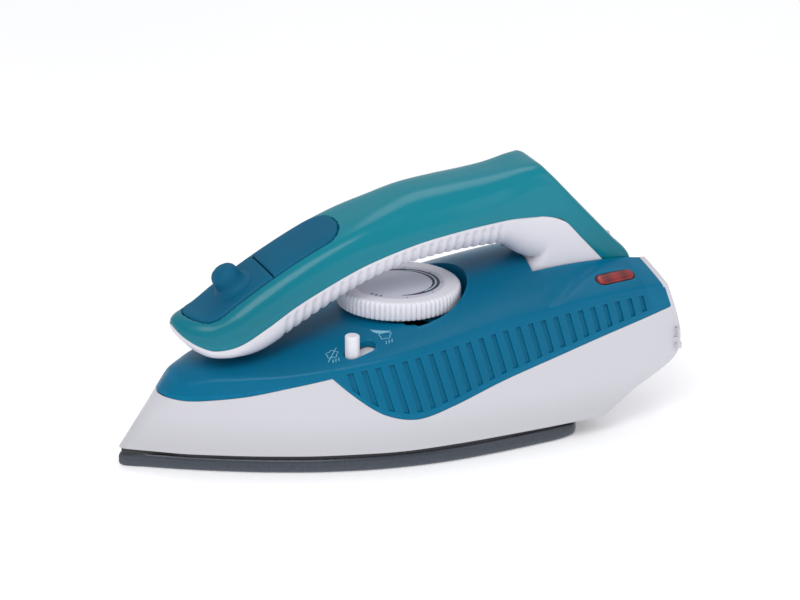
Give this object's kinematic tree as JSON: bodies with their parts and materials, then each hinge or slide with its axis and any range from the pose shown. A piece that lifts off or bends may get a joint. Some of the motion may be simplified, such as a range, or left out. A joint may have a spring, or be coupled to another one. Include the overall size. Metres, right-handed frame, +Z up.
{
  "type": "travel steam iron",
  "caption": "Travel steam iron with a folding handle that holds the water tank, a temperature dial, a steam lever and a ribbed body over a ceramic sole.",
  "frame": {"origin": "on the ironing face, on the centre plane, about midway along the iron", "axes": "-X towards the pointed nose, +X towards the heel, -Y towards the side with the lamp and the steam lever, +Z up away from the ironing face"},
  "size_m": [0.2037, 0.0846, 0.0954],
  "materials": {
    "sole_ceramic": "ceramic-coated cast aluminium, fine satin speckle",
    "element_sheath": "dull drawn sheath",
    "chamber_steel": "mill finish",
    "shield_phenolic": "matt heat-proof plastic",
    "housing_white": "satin moulded",
    "deck_teal": "glossy moulded",
    "bracket_steel": "folded sheet",
    "pin_steel": "turned",
    "washer_nylon": "moulded",
    "spring_steel": "tempered strip",
    "thermostat_ceramic": "glazed body, steel tabs",
    "fuse_metal": "plain",
    "terminal_plastic": "moulded",
    "wire_sleeve": "silicone sleeve",
    "lens_red": "clear red plastic",
    "lamp_glass": "small neon bulb",
    "gland_rubber": "soft moulded",
    "screw_steel": "zinc plated",
    "guide_plastic": "moulded",
    "valve_brass": "turned",
    "hose_silicone": "translucent silicone",
    "tank_teal": "translucent tinted plastic",
    "grip_white": "satin moulded",
    "floor_plastic": "moulded",
    "gasket_silicone": "soft ring",
    "pad_rubber": "matt soft rubber",
    "outlet_plastic": "moulded",
    "dial_white": "satin moulded, grooved rim",
    "shaft_plastic": "moulded",
    "clip_steel": "spring strip",
    "lever_white": "satin moulded",
    "needle_steel": "turned"
  },
  "bodies": {
    "base": {"soleplate": "sole_ceramic", "heating_element": "element_sheath", "steam_chamber_cover": "chamber_steel", "heat_shield": "shield_phenolic", "lower_housing": "housing_white", "deck_cover": "deck_teal", "rear_cover": "housing_white", "hinge_bracket": "bracket_steel", "hinge_pin": "pin_steel", "friction_washers": "washer_nylon", "detent_spring": "spring_steel", "thermostat": "thermostat_ceramic", "thermal_fuse": "fuse_metal", "terminal_block": "terminal_plastic", "wiring": "wire_sleeve", "indicator_lens": "lens_red", "neon_lamp": "lamp_glass", "cord_gland": "gland_rubber", "sole_screws": "screw_steel", "lever_guide": "guide_plastic", "valve_body": "valve_brass", "valve_hose": "hose_silicone"},
    "handle": {"water_tank": "tank_teal", "handle_grip": "grip_white", "tank_floor": "floor_plastic", "tank_gasket": "gasket_silicone", "filler_pad": "pad_rubber", "tank_outlet": "outlet_plastic", "feed_hose": "hose_silicone"},
    "filler_flap": {"filler_flap": "pad_rubber"},
    "dial": {"temperature_dial": "dial_white", "dial_shaft": "shaft_plastic", "dial_clip": "clip_steel"},
    "steam_lever": {"steam_lever": "lever_white"},
    "valve_needle": {"valve_needle": "needle_steel"}
  },
  "joints": [
    {"name": "handle_fold", "type": "hinge", "parent": "base", "child": "handle", "pos_m": [0.078, 0, 0.04], "axis": [0, 1, 0], "range_deg": [0, 23.3]},
    {"name": "filler_flap_hinge", "type": "hinge", "parent": "handle", "child": "filler_flap", "pos_m": [-0.045, 0, 0.06799], "axis": [0, 1, 0], "range_deg": [0, 100]},
    {"name": "dial_turn", "type": "hinge", "parent": "base", "child": "dial", "pos_m": [0.007, 0, 0.05], "axis": [0, 0, 1], "range_deg": [-30, 240]},
    {"name": "steam_slide", "type": "slide", "parent": "base", "child": "steam_lever", "axis": [0.9658, 0.116, 0.2319], "range_m": [0, 0.006]},
    {"name": "valve_lift", "type": "slide", "parent": "base", "child": "valve_needle", "axis": [0, 0, 1], "range_m": [0, 0.0014]}
  ],
  "couplings": [
    {"joint": "valve_lift", "follows": "steam_slide", "ratio": 0.23195}
  ]
}
